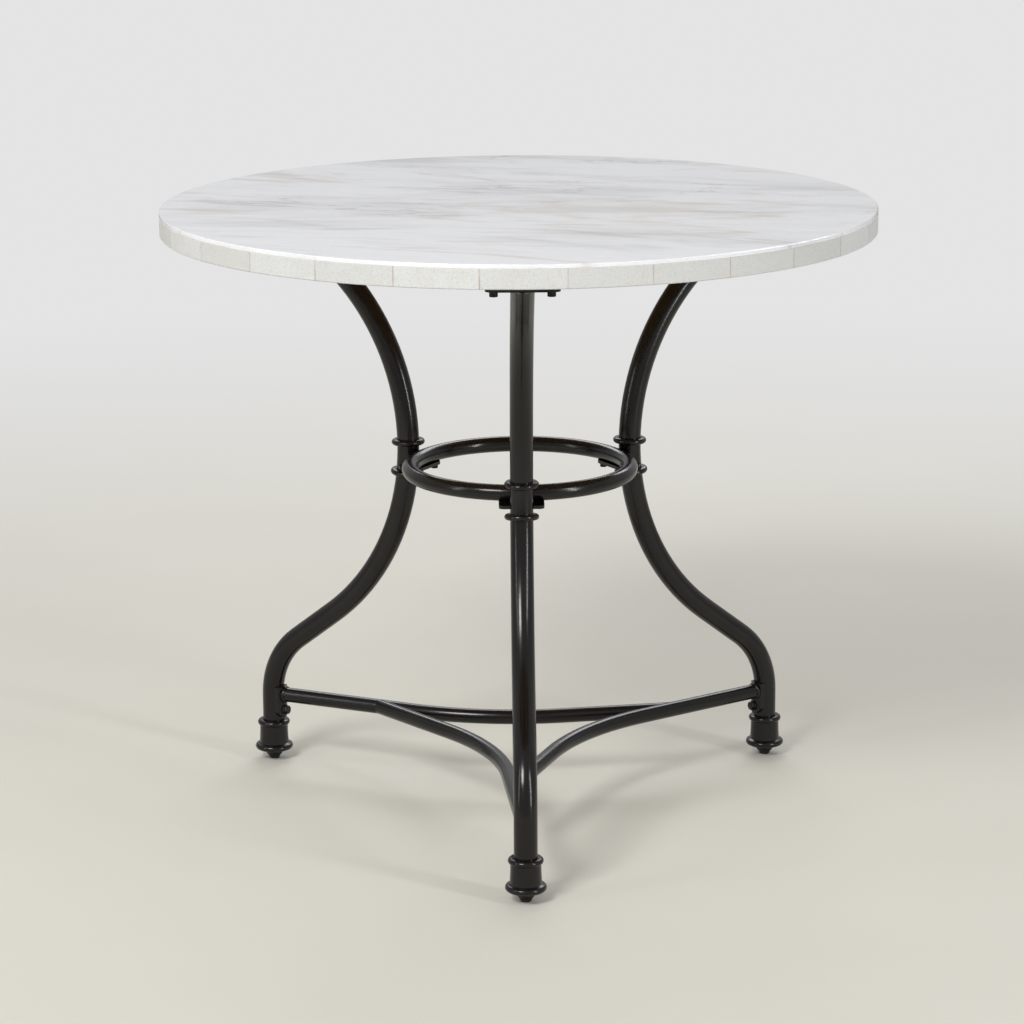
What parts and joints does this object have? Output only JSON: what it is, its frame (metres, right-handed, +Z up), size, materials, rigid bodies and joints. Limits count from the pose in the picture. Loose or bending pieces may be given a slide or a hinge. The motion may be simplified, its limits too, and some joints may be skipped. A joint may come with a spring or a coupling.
{
  "type": "bistro table",
  "caption": "Round stone-faced bistro table on bowed tube legs with a waist hoop, curved stretcher bars and screw-in levelling feet.",
  "frame": {"origin": "on the floor, on the vertical axis of the round top", "axes": "+Z up through the top's centre; -Y towards the front leg, with the other two legs 120 degrees each side of it"},
  "size_m": [0.8759, 0.876, 0.762],
  "materials": {
    "marble": "polished",
    "edge_stone": "satin",
    "joint_filler": "matte",
    "core_board": "matte",
    "plywood": "satin",
    "powder_coat": "satin",
    "powder_coat_cast": "satin",
    "black_steel": "satin",
    "zinc_steel": "satin",
    "brass": "satin",
    "nylon": "matte"
  },
  "bodies": {
    "frame": {"marble_slab": "marble", "edge_band": "edge_stone", "edge_joints": "joint_filler", "core_board": "core_board", "backing_board": "plywood", "threaded_inserts": "brass", "top_bolts": "black_steel", "top_washers": "black_steel", "top_lock_washers": "black_steel", "ring_hoop": "powder_coat", "ring_bolts": "black_steel", "stretcher_bolts": "black_steel", "stretcher_nuts": "zinc_steel", "leg_front": "powder_coat", "leg_right": "powder_coat", "leg_left": "powder_coat", "top_plate_front": "powder_coat", "top_plate_right": "powder_coat", "top_plate_left": "powder_coat", "upper_bead_front": "powder_coat", "upper_bead_right": "powder_coat", "upper_bead_left": "powder_coat", "lower_bead_front": "powder_coat", "lower_bead_right": "powder_coat", "lower_bead_left": "powder_coat", "foot_bead_front": "powder_coat", "foot_bead_right": "powder_coat", "foot_bead_left": "powder_coat", "ring_bracket_front": "powder_coat", "ring_bracket_right": "powder_coat", "ring_bracket_left": "powder_coat", "stretcher_saddle_front": "powder_coat", "stretcher_saddle_right": "powder_coat", "stretcher_saddle_left": "powder_coat", "stretcher_bar_front": "powder_coat", "stretcher_bar_right": "powder_coat", "stretcher_bar_left": "powder_coat", "foot_cup_front": "powder_coat_cast", "foot_cup_right": "powder_coat_cast", "foot_cup_left": "powder_coat_cast", "foot_plug_front": "zinc_steel", "foot_plug_right": "zinc_steel", "foot_plug_left": "zinc_steel"},
    "pad_front": {"leveller_pad_front": "nylon"},
    "screw_front": {"leveller_screw_front": "black_steel"},
    "pad_right": {"leveller_pad_right": "nylon"},
    "screw_right": {"leveller_screw_right": "black_steel"},
    "pad_left": {"leveller_pad_left": "nylon"},
    "screw_left": {"leveller_screw_left": "black_steel"}
  },
  "joints": [
    {"name": "pad_slide_front", "type": "slide", "parent": "frame", "child": "pad_front", "axis": [0, 0, -1], "range_m": [0, 0.008]},
    {"name": "screw_turn_front", "type": "hinge", "parent": "pad_front", "child": "screw_front", "pos_m": [0, -0.373, 0.01], "axis": [0, 0, -1], "range_deg": [0, 2310]},
    {"name": "pad_slide_right", "type": "slide", "parent": "frame", "child": "pad_right", "axis": [0, 0, -1], "range_m": [0, 0.008]},
    {"name": "screw_turn_right", "type": "hinge", "parent": "pad_right", "child": "screw_right", "pos_m": [0.32303, 0.1865, 0.01], "axis": [0, 0, -1], "range_deg": [0, 2310]},
    {"name": "pad_slide_left", "type": "slide", "parent": "frame", "child": "pad_left", "axis": [0, 0, -1], "range_m": [0, 0.008]},
    {"name": "screw_turn_left", "type": "hinge", "parent": "pad_left", "child": "screw_left", "pos_m": [-0.32303, 0.1865, 0.01], "axis": [0, 0, -1], "range_deg": [0, 2310]}
  ],
  "couplings": [
    {"joint": "screw_turn_front", "follows": "pad_slide_front", "rad_per_m": 5026.5},
    {"joint": "screw_turn_right", "follows": "pad_slide_right", "rad_per_m": 5026.5},
    {"joint": "screw_turn_left", "follows": "pad_slide_left", "rad_per_m": 5026.5}
  ]
}
